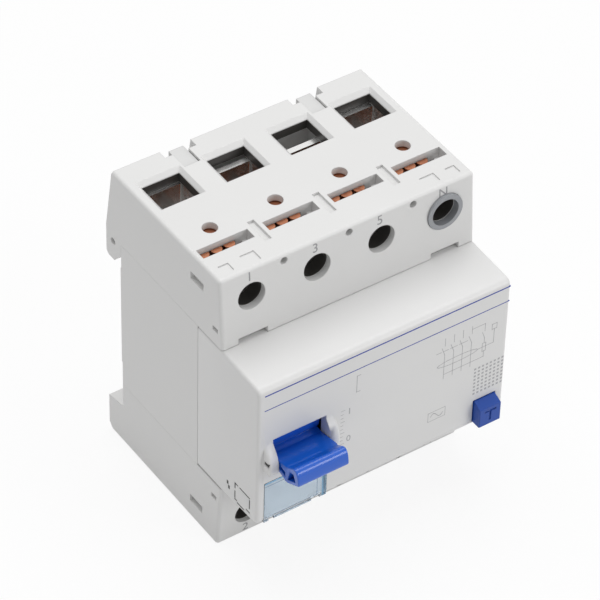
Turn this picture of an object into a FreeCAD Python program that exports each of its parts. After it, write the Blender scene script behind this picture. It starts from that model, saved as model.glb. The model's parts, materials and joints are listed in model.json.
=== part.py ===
import FreeCAD, Part
import os
import re
import Sketcher

# Four-pole residual current device for a 35 mm mounting rail
# Origin: centre of the rail seat. +Y goes back into the rail, -Y to the front, +Z up to the
# line terminals, +X to the right. All sizes are in millimetres.

doc = FreeCAD.newDocument("residual_current_device")
sheet = doc.addObject("Spreadsheet::Sheet", "Sizes")
V = FreeCAD.Vector
X_AXIS = V(1, 0, 0)
Y_AXIS = V(0, 1, 0)
Z_AXIS = V(0, 0, 1)

SIZES = {
    # Outer body
    "width": 71.0,
    "height": 85.0,
    "module_gap": 1.0,
    "pole_pitch": "=(width + module_gap) / 4",
    "nose_depth": 59.0,
    "shoulder_depth": 43.8,
    "shoulder_draft": 1.6,
    "nose_root_half": 22.4,
    "nose_front_half": 21.5,
    "skirt_depth": 33.7,
    "skirt_seam": 0.15,
    "nose_top_round": 1.8,
    "edge_round": 0.9,
    # Walls
    "side_wall": 1.8,
    "rear_wall": 2.2,
    "cap_wall": 2.0,
    "cavity_half": 21.0,
    "seat_clear": 0.1,
    # Rail seat and hooks
    "seat_half": 15.2,
    "seat_relief": 0.3,
    "rail_half": 17.5,
    "rail_thick": 1.0,
    "rail_gap": 0.15,
    "hook_depth": 6.2,
    "hook_reach": 1.9,
    "hook_high": 24.6,
    "top_rear": 3.4,
    "lower_ledge": 30.2,
    "ledge_slope": 1.1,
    "lower_hook_end": 40.3,
    "bottom_rear": 4.3,
    # Terminals
    "screw_down": 7.7,
    "terminal_z": "=height / 2 - screw_down",
    "bore_radius": 3.7,
    "entry_width": 10.4,
    "entry_front": 14.2,
    "entry_rear": 4.3,
    "funnel": 0.95,
    "pocket_roof": 3.5,
    "pocket_tall": 14.5,
    "pocket_high": "=height / 2 - pocket_roof",
    "pocket_low": "=pocket_high - pocket_tall",
    "pocket_half": 6.7,
    "pocket_rear": 2.6,
    "fork_front": 33.5,
    "fork_rear": 30.4,
    "fork_left": 7.0,
    "fork_right": 5.4,
    "fork_rise": 2.5,
    "fork_low": "=pocket_low + fork_rise",
    "fork_step": 3.0,
    "probe_depth": 25.35,
    "probe_radius": 1.9,
    "pole_groove": 1.8,
    "groove_front": 35.9,
    "groove_rear": 28.4,
    "groove_deep": 0.7,
    "pin_hole_radius": 0.95,
    "pin_hole_down": 1.7,
    "pin_hole_z": "=height / 2 - pin_hole_down",
    "pin_hole_deep": 3.0,
    # Cage clamps and their screws
    "cage_half": 6.4,
    "cage_side": 1.2,
    "cage_rear": 1.6,
    "cage_front": 2.2,
    "cage_long": 15.7,
    "cage_clear": 0.15,
    "cage_radius": 1.6,
    "open_line_1": 0.5,
    "open_line_3": 2.4,
    "open_line_5": 5.4,
    "open_line_n": 1.3,
    "open_load": 0.6,
    "screw_radius": 2.4,
    "screw_fit": 0.05,
    "head_radius": 3.4,
    "head_tall": 3.6,
    "cross_wide": 1.0,
    "cross_deep": 1.8,
    # Copper
    "bar_front": 16.4,
    "bar_thick": 1.8,
    "bar_half": 4.6,
    "strip_thick": 1.6,
    "strip_half": 6.5,
    "tail_half": 3.5,
    "tail_end": 15.5,
    "load_tail_end": 17.6,
    "bump_radius": 1.45,
    "bump_pitch": 3.5,
    "copper_gap": 0.2,
    # Contacts
    "shaft_depth": 8.0,
    "shaft_z": 5.0,
    "shaft_radius": 2.6,
    "shaft_fit": 0.08,
    "contact_z": 17.2,
    "contact_radius": 1.8,
    "contact_thick": 1.0,
    "contact_touch": 0.2,
    "contact_angle": 22.0,
    "arm_half": 2.0,
    "arm_thick": 1.6,
    "arm_high": 19.0,
    "carrier_half": 3.6,
    "rib_thick": 1.6,
    # Lever
    "lever_depth": 51.8,
    "lever_z": 1.6,
    "lever_inset": 11.5,
    "lever_x": "=lever_inset - width / 2",
    "lever_wide": 14.2,
    "drum_radius": 4.9,
    "pin_radius": 1.5,
    "pin_fit": 0.05,
    "grip_unit": 1.0,
    "window_wide": 14.8,
    "window_top": 4.7,
    "window_low": -4.6,
    "cheek_wide": 2.6,
    "cheek_tall": 2.7,
    "cheek_top": 3.6,
    "cheek_round": 0.8,
    "seal_slot": 1.2,
    "lug_radius": 2.2,
    "crank_back": 4.2,
    "crank_up": 2.2,
    "drive_up": 1.2,
    "link_thick": 1.6,
    "link_slot": 2.4,
    "crank_radius": 0.9,
    "link_play": 1.75,
    # Label window
    "label_inset": 1.9,
    "label_wide": 17.8,
    "label_left": "=label_inset - width / 2",
    "label_right": "=label_left + label_wide",
    "label_top": -8.5,
    "label_thick": 1.5,
    "label_fit": 0.1,
    # Test button
    "button_inset": 5.65,
    "button_x": "=width / 2 - button_inset",
    "button_wide": 6.1,
    "button_low": -20.3,
    "button_high": -13.5,
    "button_proud": 2.8,
    "button_fit": 0.25,
    # Summation transformer
    "coil_depth": 15.0,
    "coil_outer": 11.0,
    "coil_inner": 6.0,
    "coil_low": -17.0,
    "coil_high": -3.6,
    "coil_wall": 0.8,
    "wire_radius": 1.5,
    # Electronics and trip relay
    "board_depth": 35.0,
    "board_thick": 1.5,
    "relay_inset": 16.5,
    "relay_x": "=width / 2 - relay_inset",
    "relay_z": 4.0,
    "relay_half": 7.0,
    "relay_tall": 13.0,
    "plunger_radius": 1.2,
    # Rail clips
    "clip_x": 18.0,
    "clip_half": 4.1,
    "clip_front": 1.15,
    "clip_thick": 3.25,
    "clip_bite": 1.6,
    "clip_plate_high": 37.5,
    "clip_tab_half": 2.0,
    "clip_tab_front": 4.0,
    "clip_tab_low": 34.0,
    "clip_high": 41.9,
    "clip_fit": 0.2,
}

for row, (alias, value) in enumerate(SIZES.items(), start=1):
    sheet.set("A%d" % row, alias)
    sheet.set("B%d" % row, str(value))
    sheet.setAlias("B%d" % row, alias)
doc.recompute()


# Expressions and small building blocks

def bound(text):
    """Turn sheet names in a formula into references that the document can follow."""
    text = str(text)
    return re.sub(r"[a-z_][a-z_0-9]*", lambda m: "Sizes." + m.group(0)
                  if m.group(0) in SIZES else m.group(0), text)


def value(text):
    """The number that a formula gives now."""
    return float(sheet.evalExpression(bound(text)))


def place(item, x, y, z):
    for axis, text in zip("xyz", (x, y, z)):
        item.setExpression("Placement.Base." + axis, bound(text))


def block(name, x0, x1, y0, y1, z0, z1):
    """A box between two corners, each coordinate a formula."""
    item = doc.addObject("Part::Box", name)
    place(item, x0, y0, z0)
    for prop, low, high in (("Length", x0, x1), ("Width", y0, y1), ("Height", z0, z1)):
        item.setExpression(prop, bound("(%s) - (%s)" % (high, low)))
    return item


TURN_TO = {"x": FreeCAD.Rotation(Y_AXIS, 90), "y": FreeCAD.Rotation(X_AXIS, -90),
           "z": FreeCAD.Rotation()}


def rod(name, axis, x, y, z, radius, length):
    """A cylinder that starts at a point and runs along +X, +Y or +Z."""
    item = doc.addObject("Part::Cylinder", name)
    item.Placement = FreeCAD.Placement(V(), TURN_TO[axis])
    place(item, x, y, z)
    item.setExpression("Radius", bound(radius))
    item.setExpression("Height", bound(length))
    return item


def joined(name, items):
    if len(items) == 1:
        return items[0]
    item = doc.addObject("Part::MultiFuse", name)
    item.Shapes = items
    return item


def group(name, items):
    """Several separate solids in one sub-part."""
    item = doc.addObject("Part::Compound", name)
    item.Links = items
    return item


def cut(name, base, tools):
    item = doc.addObject("Part::Cut", name)
    item.Base = base
    item.Tool = joined(name + "_tools", tools)
    return item


def mirrored(name, item, normal):
    copy = doc.addObject("Part::Mirroring", name)
    copy.Source = item
    copy.Base = V(0, 0, 0)
    copy.Normal = normal
    return copy


PLANES = {"x": ("YZ_Plane", 1, 2), "y": ("XZ_Plane", 0, 2), "z": ("XY_Plane", 0, 1)}


def sketch(body, name, normal, points):
    """A closed outline on an origin plane; each point is a pair of formulas."""
    role = PLANES[normal][0]
    plane = [o for o in body.Origin.OriginFeatures if o.Role == role][0]
    outline = body.newObject("Sketcher::SketchObject", name)
    outline.AttachmentSupport = [(plane, "")]
    outline.MapMode = "FlatFace"
    now = [(value(a), value(b)) for a, b in points]
    count = len(now)
    for i, (a, b) in enumerate(now):
        c, d = now[(i + 1) % count]
        outline.addGeometry(Part.LineSegment(V(a, b, 0), V(c, d, 0)))
    for i in range(count):
        outline.addConstraint(Sketcher.Constraint("Coincident", i, 2, (i + 1) % count, 1))
    for i, (a, b) in enumerate(points):
        for kind, text, number in (("DistanceX", a, now[i][0]), ("DistanceY", b, now[i][1])):
            at = outline.addConstraint(Sketcher.Constraint(kind, -1, 1, i, 1, number))
            outline.renameConstraint(at, "%s_%d" % (kind[-1].lower(), i))
            outline.setExpression("Constraints.%s_%d" % (kind[-1].lower(), i), bound(text))
    return outline


def slab(name, normal, points, length, middle=0):
    """A body padded from an outline, centred on a plane across the normal.

    Outlines are (y, z) across X, (x, z) across Y and (x, y) across Z.
    """
    body = doc.addObject("PartDesign::Body", name)
    outline = sketch(body, name + "_outline", normal, points)
    pad = body.newObject("PartDesign::Pad", name + "_pad")
    pad.Profile = outline
    pad.Midplane = True
    pad.setExpression("Length", bound(length))
    outline.Visibility = False
    at = {"x": (middle, 0, 0), "y": (0, middle, 0), "z": (0, 0, middle)}[normal]
    place(body, *at)
    doc.recompute()
    return body


def edges_where(feature, test):
    """Names of the straight edges whose two ends pass a test."""
    names = []
    for i, edge in enumerate(feature.Shape.Edges, start=1):
        ends = [v.Point for v in edge.Vertexes]
        if len(ends) == 2 and test(ends[0], ends[1]):
            names.append("Edge%d" % i)
    return names


def rounded(body, name, radius, test):
    """A fillet on the body's tip along the edges that a test picks."""
    base = body.Tip
    edges = edges_where(base, test)
    fillet = body.newObject("PartDesign::Fillet", name)
    fillet.Base = (base, edges)
    fillet.setExpression("Radius", bound(radius))
    doc.recompute()
    return fillet


def near(a, b):
    return abs(a - b) < 0.01


finished = []


def sub_part(item, label):
    item.Label = label
    finished.append(item)
    return item


POLES = [("1", "2", "-1.5 * pole_pitch"), ("3", "4", "-0.5 * pole_pitch"),
         ("5", "6", "0.5 * pole_pitch"), ("n", "n", "1.5 * pole_pitch")]
FACE_SLOPE = "(shoulder_draft / (height / 2 - nose_root_half))"
FACE_AT_SCREW = "(-shoulder_depth + (terminal_z - nose_root_half) * %s)" % FACE_SLOPE
HOOK_TIP = "(rail_half - hook_reach)"
CAGE_TALL = "(2 * (pocket_high - cage_clear - terminal_z))"


# Base housing: rear tray with both terminal blocks, rail seat and hooks

def housing_profile():
    """Outline of the moulding across its width, as (y, z)."""
    return [
        ("0", "-seat_half"),
        ("0", "seat_half"),
        ("-seat_relief", "seat_half"),
        ("-seat_relief", "rail_half + rail_gap + 1.05"),
        ("rail_thick + rail_gap", "rail_half + rail_gap"),
        ("rail_thick + rail_gap + 1.55", HOOK_TIP),
        ("hook_depth - 0.9", HOOK_TIP),
        ("hook_depth", HOOK_TIP + " + 0.9"),
        ("hook_depth", "hook_high"),
        ("top_rear", "height / 2"),
        ("-shoulder_depth + shoulder_draft", "height / 2"),
        ("-shoulder_depth", "nose_root_half + skirt_seam"),
        ("-skirt_depth + skirt_seam", "nose_root_half + skirt_seam"),
        ("-skirt_depth + skirt_seam", "-nose_root_half - skirt_seam"),
        ("-shoulder_depth", "-nose_root_half - skirt_seam"),
        ("-shoulder_depth + shoulder_draft", "-height / 2"),
        ("bottom_rear", "-height / 2"),
        ("hook_depth", "-lower_hook_end"),
        ("hook_depth", "-lower_ledge - ledge_slope"),
        ("-seat_relief", "-lower_ledge"),
        ("-seat_relief", "-seat_half"),
    ]


def pole_tools(tag, x):
    """Everything cut for one upper terminal; the lower ones are its mirror image."""
    top = "height / 2 + 1"
    funnel = doc.addObject("Part::Wedge", "funnel_" + tag)
    funnel.Placement = FreeCAD.Placement(V(), FreeCAD.Rotation(X_AXIS, 90))
    place(funnel, x, "0", "height / 2 - funnel")
    for prop, text in (("Xmin", "-entry_width / 2"), ("Xmax", "entry_width / 2"),
                       ("X2min", "-entry_width / 2 - funnel"), ("X2max", "entry_width / 2 + funnel"),
                       ("Ymin", "0"), ("Ymax", "funnel"),
                       ("Zmin", "entry_rear"), ("Zmax", "entry_front"),
                       ("Z2min", "entry_rear - funnel * 1.4"), ("Z2max", "entry_front")):
        funnel.setExpression(prop, bound(text))
    left = x + " - fork_left"
    return [
        funnel,
        block("entry_" + tag, x + " - entry_width / 2", x + " + entry_width / 2",
              "-entry_front", "-entry_rear", "pocket_low + 5", top),
        block("cage_pocket_" + tag, x + " - pocket_half", x + " + pocket_half",
              "-fork_rear", "-pocket_rear", "pocket_low", "pocket_high"),
        block("flange_pocket_" + tag, x + " - tail_half - copper_gap",
              x + " + tail_half + copper_gap", "-fork_rear", "-probe_depth + 2.6",
              "pocket_low + 5", "pocket_high + strip_thick"),
        block("fork_slot_" + tag, left, x + " + fork_right", "-fork_front", "-fork_rear + 0.1",
              "fork_low", top),
        block("fork_step_" + tag, left, x + " + fork_left - 0.1", "-fork_front",
              "-fork_rear + 0.1", "height / 2 - fork_step", top),
        rod("screw_bore_" + tag, "y", x, "-shoulder_depth - 1", "terminal_z", "bore_radius",
            "shoulder_depth + 1 - fork_rear + 0.1"),
        rod("probe_hole_" + tag, "z", x, "-probe_depth", "pocket_high - 1", "probe_radius",
            "height / 2 - pocket_high + 2"),
        block("tail_slot_" + tag, x + " - tail_half - copper_gap",
              x + " + tail_half + copper_gap", "-bar_front - copper_gap",
              "-bar_front + bar_thick + copper_gap", "cavity_half - 1", "pocket_low + 1"),
    ]


def engraved_corner(tag, left, right, high, low):
    """A moulded mark of two thin grooves that meet at a corner."""
    line = 0.4
    return [
        block("mark_a_" + tag, left, right, "-%s - %s" % (high, line), "-" + high,
              "height / 2 - 0.25", "height / 2 + 1"),
        block("mark_b_" + tag, "%s - %s" % (right, line), right, "-" + low, "-" + high,
              "height / 2 - 0.25", "height / 2 + 1"),
    ]


def clip_tools(tag, x):
    """Channel for an upper rail clip: a wide slot behind the seat and a narrow one in front."""
    return [
        block("clip_channel_" + tag, x + " - clip_half - clip_fit", x + " + clip_half + clip_fit",
              "clip_front - clip_fit", "clip_front + clip_thick + clip_fit",
              "rail_half - 4", "height / 2 + 1"),
        block("clip_slot_" + tag, x + " - clip_tab_half - clip_fit",
              x + " + clip_tab_half + clip_fit", "-clip_tab_front - clip_fit", "clip_front",
              "clip_tab_low - 4", "height / 2 + 1"),
    ]


def base_housing():
    body = slab("base_blank", "x", housing_profile(), "width")
    front = -value("(skirt_depth + shoulder_depth) / 2")

    def in_front(point):
        return point.y < front

    rounded(body, "front_edges", "edge_round",
            lambda a, b: near(a.x, b.x) and in_front(a) and in_front(b) and abs(a.z - b.z) > 5)
    rounded(body, "shoulder_edges", "edge_round",
            lambda a, b: near(a.y, b.y) and near(a.z, b.z) and not near(a.x, b.x)
            and near(abs(a.z), value("height / 2")) and in_front(a))
    upper = []
    for tag, low_tag, x in POLES:
        upper += pole_tools(tag, "(" + x + ")")
    for i in (-1, 0, 1):
        tag = "groove_%d" % (i + 1)
        x = "(%d * pole_pitch)" % i
        upper.append(block(tag, x + " - pole_groove / 2", x + " + pole_groove / 2",
                           "-groove_front", "-groove_rear", "height / 2 - groove_deep",
                           "height / 2 + 1"))
        upper.append(rod("pin_hole_%d" % (i + 1), "y", x, "-shoulder_depth - 1", "pin_hole_z",
                         "pin_hole_radius", "pin_hole_deep + 2"))
    for side in (-1, 1):
        tag = "left" if side < 0 else "right"
        upper += clip_tools(tag, "(%d * clip_x)" % side)
        middle = "(%d * (pole_pitch * 1.5))" % side
        upper.append(block("latch_notch_" + tag, middle + " - 4", middle + " + 4",
                           "-shoulder_depth - 1", "-shoulder_depth + 1.4",
                           "nose_root_half", "nose_root_half + 1.7"))
        edge = "(%d * width / 2)" % side
        upper.append(block("side_slot_" + tag, edge + " - 1.2", edge + " + 1.2",
                           "-35.8", "-30.4", "terminal_z + 0.1", "terminal_z + 2.3"))
        upper.append(rod("ear_hole_" + tag, "x", edge + " - 1.5", "3.2", "21.2", "0.95", "3"))
        upper.append(block("latch_eye_" + tag, edge + " - 0.9", edge + " + 0.9", "-41.8", "-39.7",
                           "26.4", "27.7"))
    upper += engraved_corner("a", "2.6 - width / 2", "5.3 - width / 2", "37.6", "40.2")
    upper += engraved_corner("b", "8.75 - width / 2", "12.5 - width / 2", "37.2", "40.4")
    upper += engraved_corner("c", "width / 2 - 12.3", "width / 2 - 8.3", "37.2", "40.1")
    upper += engraved_corner("d", "width / 2 - 5.2", "width / 2 - 2.6", "37.5", "40.2")
    above = joined("upper_cuts", upper)
    below = mirrored("lower_cuts", above, Z_AXIS)
    collar_seat = rod("collar_seat", "y", "1.5 * pole_pitch", FACE_AT_SCREW + " - 2", "terminal_z",
                      "bore_radius + 1.25", "3.5")
    cavity = block("centre_cavity", "-width / 2 + side_wall", "width / 2 - side_wall",
                   "-skirt_depth - 20", "-rear_wall", "-cavity_half", "cavity_half")
    hollow = cut("housing_hollow", body, [cavity, above, below, collar_seat])

    # The terminal blocks meet the tray behind the nose's root; the upper one carries the rail hook
    joint_z = "(nose_root_half + skirt_seam)"
    high_zone = joined("line_zone", [
        block("line_zone_block", "-width / 2 - 1", "width / 2 + 1", "-shoulder_depth - 1",
              "hook_depth + 1", joint_z, "height / 2 + 1"),
        block("line_zone_hook", "-width / 2 - 1", "width / 2 + 1", "-seat_relief",
              "hook_depth + 1", "seat_half + 0.2", joint_z + " + 0.1")])
    low_zone = block("load_zone_block", "-width / 2 - 1", "width / 2 + 1", "-shoulder_depth - 1",
                     "hook_depth + 1", "-height / 2 - 1", "-" + joint_z)
    tray = cut("housing_tray", hollow, [high_zone, low_zone])
    sub_part(joined("housing_all", [tray] + housing_ribs()), "base_housing")
    for label, zone in (("line_terminal_block", high_zone), ("load_terminal_block", low_zone)):
        shared = doc.addObject("Part::Common", label + "_part")
        shared.Base = hollow
        shared.Tool = zone
        sub_part(shared, label)


def housing_ribs():
    """Ribs that carry the contact shaft, the transformer, the board and the mechanism."""
    ribs = []
    for i in (-1, 0, 1):
        x = "(%d * pole_pitch)" % i
        wall = block("rib_%d" % (i + 1), x + " - rib_thick / 2", x + " + rib_thick / 2",
                     "-20", "-rear_wall + 0.1", "0", "cavity_half + 0.1")
        seat = rod("shaft_seat_%d" % (i + 1), "x", x + " - 2", "-shaft_depth", "shaft_z",
                   "shaft_radius + shaft_fit", "4")
        mouth = block("shaft_mouth_%d" % (i + 1), x + " - 2", x + " + 2", "-21", "-shaft_depth",
                      "shaft_z - shaft_radius - shaft_fit", "shaft_z + shaft_radius + shaft_fit")
        ribs.append(cut("shaft_rib_%d" % (i + 1), wall, [seat, mouth]))
    foot = "max(-skirt_depth + 0.7; -board_depth + 2)"
    for i in (0, 1):
        x = "(%d * pole_pitch)" % i
        for side in (-1, 1):
            tag = "%d_%d" % (i, side + 1)
            for part, y0, y1, far in (("foot", foot, "-24", "cavity_half + 0.1"),
                                      ("tip", "-board_depth", foot + " + 0.1",
                                       "nose_front_half - cap_wall - 0.3")):
                ends = ["cavity_half - 3.5", far]
                if side < 0:
                    ends = ["-(%s)" % end for end in reversed(ends)]
                ribs.append(block("board_%s_%s" % (part, tag), x + " - rib_thick / 2",
                                  x + " + rib_thick / 2", y0, y1, ends[0], ends[1]))
    for tag, x in (("left", "lever_x - lever_wide / 2"), ("right", "lever_x + lever_wide / 2")):
        ribs.append(block("frame_post_" + tag, x + " - 1.2", x + " + 1.2", "-27", "-rear_wall + 0.1",
                          "-16", "-9"))
    post = rod("coil_post", "y", "0", "-coil_depth + coil_outer + 0.1", "(coil_low + coil_high) / 2",
               "3", "coil_depth - coil_outer - rear_wall")
    ribs.append(post)
    return ribs


# Front cap: drafted nose with the lever window, label recess and button hole

def cheek(tag, side):
    """Raised cheek beside the lever window, its outer edge rounded."""
    front = "-nose_depth"
    middle = "(lever_x + %d * (window_wide / 2 + cheek_wide / 2))" % side
    raised = slab("cheek_" + tag, "x", [
        (front + " + 1", "cheek_top"),
        (front, "cheek_top"),
        (front + " - cheek_tall * 0.44", "cheek_top - 1.6"),
        (front + " - cheek_tall * 0.78", "cheek_top - 3.0"),
        (front + " - cheek_tall * 0.96", "cheek_top - 4.8"),
        (front + " - cheek_tall", "cheek_top - 6.6"),
        (front + " - cheek_tall * 0.85", "cheek_top - 7.8"),
        (front, "cheek_top - 8.2"),
        (front + " + 1", "cheek_top - 8.2"),
    ], "cheek_wide", middle)
    outside = side * value("cheek_wide") / 2
    rounded(raised, "cheek_edge_" + tag, "cheek_round",
            lambda a, b: near(a.x, outside) and near(b.x, outside)
            and min(a.y, b.y) < -value("nose_depth") - 0.5)
    return raised


def front_cap():
    front = "-nose_depth"
    outer = slab("cap_blank", "x", [
        ("-skirt_depth", "-nose_root_half"),
        ("-skirt_depth", "nose_root_half"),
        ("-shoulder_depth", "nose_root_half"),
        (front, "nose_front_half"),
        (front, "-nose_front_half"),
        ("-shoulder_depth", "-nose_root_half"),
    ], "width")
    rounded(outer, "nose_edges", "nose_top_round",
            lambda a, b: near(a.y, b.y) and near(a.z, b.z) and near(a.y, -value("nose_depth")))
    rounded(outer, "nose_sides", "edge_round",
            lambda a, b: near(a.x, b.x) and near(a.y, b.y) and near(a.y, -value("nose_depth")))
    inner = block("cap_inside", "-width / 2 + side_wall", "width / 2 - side_wall",
                  front + " + cap_wall", "-skirt_depth + 1",
                  "-nose_front_half + cap_wall", "nose_front_half - cap_wall")
    shell = cut("cap_shell", outer, [inner])

    # Thick walls behind the label recess and around the button
    label_back = block("label_back", "-width / 2 + 1", "label_right + 1.6", front + " + 1",
                       front + " + label_thick + 1.9", "-nose_front_half + 0.6", "label_top + 1.2")
    guide_half = "(button_wide / 2 + button_fit + 1.2)"
    guide = block("button_guide", "button_x - %s" % guide_half, "width / 2 - 1", front + " + 1",
                  front + " + 7", "button_low - button_fit - 0.8", "button_high + button_fit + 1.2")
    tongue = []
    for side in (-1, 1):
        inside = "(%d * (width / 2 - side_wall - seat_clear))" % side
        low, high = (inside, inside + " + 1.1") if side < 0 else (inside + " - 1.1", inside)
        reach = "(%d * 0.9)" % side
        tongue.append(block("cap_tongue_%d" % (side + 1), low, high, "-skirt_depth - 2.5",
                            "-skirt_depth + 3", "-nose_root_half + 3.2", "nose_root_half - 3.2"))
        root = (low + " + " + reach, high + " + " + reach)
        tongue.append(block("cap_tongue_root_%d" % (side + 1), root[0], root[1],
                            "-skirt_depth - 2.5", "-skirt_depth - 0.3",
                            "-nose_root_half + 3.2", "nose_root_half - 3.2"))
    cheeks = [cheek("left", -1), cheek("right", 1)]
    solid = joined("cap_solid", [shell, label_back, guide] + cheeks + tongue)

    window = block("lever_window", "lever_x - window_wide / 2", "lever_x + window_wide / 2",
                   front + " - 1", front + " + 8", "window_low", "window_top")
    left = "lever_x - window_wide / 2"
    seal = block("seal_slot", left + " - cheek_wide - 1", left + " + 0.1", front + " - cheek_tall + 0.5",
                 front + " - 0.3", "cheek_top - 5.1", "cheek_top - 5.1 + seal_slot")
    recess = slab("label_recess", "z", [
        ("label_left", front + " - 1"),
        ("label_left", front + " + label_thick * 0.5"),
        ("label_left - 0.6", front + " + label_thick * 0.5"),
        ("label_left - 0.6", front + " + label_thick + 0.35"),
        ("label_right + 0.6", front + " + label_thick + 0.35"),
        ("label_right + 0.6", front + " + label_thick * 0.5"),
        ("label_right", front + " + label_thick * 0.5"),
        ("label_right", front + " - 1"),
    ], "nose_front_half + 1 + label_top", "(label_top - nose_front_half - 1) / 2")
    button_hole = block("button_hole", "button_x - button_wide / 2 - button_fit",
                        "button_x + button_wide / 2 + button_fit", front + " - 1", front + " + 8",
                        "button_low - button_fit", "button_high + button_fit")
    item = cut("cap_all", solid, [window, seal, recess, button_hole] + knock_out())
    return sub_part(item, "front_cap")


def knock_out():
    """Broken groove round a knock-out on the left side, and the moulded mark beside it."""
    line = "0.45"
    runs = [("49.5", "50.6", "14.7", "14.7"), ("51.6", "55.6", "14.7", "14.7"),
            ("49.5", "49.5", "14.7", "16.2"), ("49.5", "49.5", "17.4", "19.4"),
            ("55.6", "55.6", "15.4", "18.0"), ("50.6", "53.2", "20.4", "20.4"),
            ("54.4", "55.6", "19.4", "19.4"), ("49.5", "50.2", "19.9", "19.9"),
            ("46.2", "46.5", "16.6", "17.4"), ("46.8", "47.1", "17.8", "18.6")]
    return [block("knock_out_%d" % i, "-width / 2 - 1", "-width / 2 + 0.3",
                  "-%s - %s" % (far, line), "-" + close, "-%s - %s" % (low, line), "-" + high)
            for i, (close, far, high, low) in enumerate(runs)]


# Label window and the card behind it

def label_window():
    front = "-nose_depth"
    fit = "label_fit"
    cover = slab("label_cover", "z", [
        ("label_left + " + fit, front),
        ("label_left + " + fit, front + " + label_thick * 0.5 + " + fit),
        ("label_left - 0.6 + " + fit, front + " + label_thick * 0.5 + " + fit),
        ("label_left - 0.6 + " + fit, front + " + label_thick"),
        ("label_right + 0.6 - " + fit, front + " + label_thick"),
        ("label_right + 0.6 - " + fit, front + " + label_thick * 0.5 + " + fit),
        ("label_right - " + fit, front + " + label_thick * 0.5 + " + fit),
        ("label_right - " + fit, front),
    ], "nose_front_half + label_top - %s - 0.1" % fit, "(label_top - %s - nose_front_half + 0.1) / 2" % fit)
    notches = [block("cover_notch_" + tag, x0, x1, front + " - 1", front + " + 0.9",
                     "-nose_front_half - 1", "-nose_front_half + 1.0")
               for tag, x0, x1 in (("left", "label_left + 1.4", "label_left + 2.9"),
                                   ("right", "label_right - 4.3", "label_right - 2.0"))]
    sub_part(cut("label_cover_all", cover, notches), "label_window")
    card = block("card", "label_left - 0.3", "label_right + 0.3", front + " + label_thick + 0.05",
                 front + " + label_thick + 0.3", "-nose_front_half + 0.6", "label_top - 0.4")
    sub_part(card, "label_card")


# Toggle lever with its pivot pin, drum and hollow grip

LEVER_Y = "-lever_depth"
LINK_X = "(lever_x + 4)"
CRANK = ("-lever_depth + crank_back", "lever_z + crank_up")
DRIVE = ("-shaft_depth - 20", "shaft_z + drive_up")


def lever_point(forward, up):
    return ("-lever_depth - %s * grip_unit" % forward, "lever_z + %s * grip_unit" % up)


def toggle_lever():
    drum = rod("drum", "x", "lever_x - lever_wide / 2", LEVER_Y, "lever_z", "drum_radius", "lever_wide")
    lug = rod("crank_lug", "x", LINK_X + " - link_slot / 2 - 1.6", CRANK[0], CRANK[1], "lug_radius",
              "link_slot + 3.2")
    grip = slab("grip", "x", [lever_point(f, u) for f, u in (
        (2.0, -2.5), (5.8, -3.0), (12.3, -1.6), (13.6, -1.0), (14.8, -0.2), (15.6, 0.1),
        (16.4, -0.3), (16.9, -1.2), (17.4, -3.5), (17.1, -4.2), (12.7, -6.5), (11.5, -5.9),
        (9.6, -5.4), (4.2, -4.9))], "lever_wide", "lever_x")
    rounded(grip, "grip_edges", 0.35,
            lambda a, b: near(a.y, b.y) and near(a.z, b.z) and a.y < -value("nose_depth") - 1.5)
    bore = rod("lever_bore", "x", "lever_x - lever_wide / 2 - 1", LEVER_Y, "lever_z",
               "pin_radius + pin_fit", "lever_wide + 2")
    deep = "lever_x - lever_wide / 2 + 3.5"
    hollow = slab("grip_hollow", "x", [lever_point(f, u) for f, u in (
        (13.8, -2.0), (15.2, -1.6), (16.2, -3.6), (12.9, -5.2))], "9", deep)
    small = slab("stem_hollow", "x", [lever_point(f, u) for f, u in (
        (9.7, -2.9), (11.9, -3.6), (12.1, -5.0), (9.7, -4.4))], "9", deep)
    slot = block("link_slot_cut", LINK_X + " - link_slot / 2", LINK_X + " + link_slot / 2",
                 LEVER_Y + " + 1.9", LEVER_Y + " + drum_radius + 3", "lever_z - drum_radius - 1",
                 "lever_z + drum_radius + 1")
    shaped = cut("lever_shaped", joined("lever_solid", [drum, lug, grip]), [bore, hollow, small, slot])
    crank = rod("crank_pin", "x", LINK_X + " - link_slot / 2 - 0.1", CRANK[0], CRANK[1],
                "crank_radius", "link_slot + 0.2")
    sub_part(joined("lever_all", [shaped, crank]), "toggle_lever")
    pin = rod("lever_pin_rod", "x", "lever_x - lever_wide / 2 - 2.0", LEVER_Y, "lever_z",
              "pin_radius", "lever_wide + 4.0")
    sub_part(pin, "lever_pivot_pin")


# Mechanism frame: two steel side plates and a floor that hold the pivot pin

def mechanism_frame():
    plates = []
    holes = []
    for tag, side in (("left", -1), ("right", 1)):
        x = "(lever_x + %d * (lever_wide / 2 + 1.5))" % side
        plates.append(block("plate_" + tag, x + " - 0.5", x + " + 0.5", "-nose_depth + cap_wall + 0.5",
                            "-38", "lever_z - 8.5", "lever_z + 7"))
        foot = "(lever_x + %d * (lever_wide / 2 - 0.6))" % side
        plates.append(block("leg_" + tag, foot + " - 0.5", foot + " + 0.5", "-40", "-27", "-16",
                            "lever_z - 7.5"))
        holes.append(rod("pin_hole_frame_" + tag, "x", x + " - 1", LEVER_Y, "lever_z",
                         "pin_radius + 0.02", "2"))
    floor = block("frame_floor", "lever_x - lever_wide / 2 - 1.5", "lever_x + lever_wide / 2 + 1.5",
                  "-48", "-38", "lever_z - 8.5", "lever_z - 7.3")
    sub_part(cut("frame_all", joined("frame_solid", plates + [floor]), holes), "mechanism_frame")


# Drive link from the lever's crank pin to the contact shaft's arm

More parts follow.
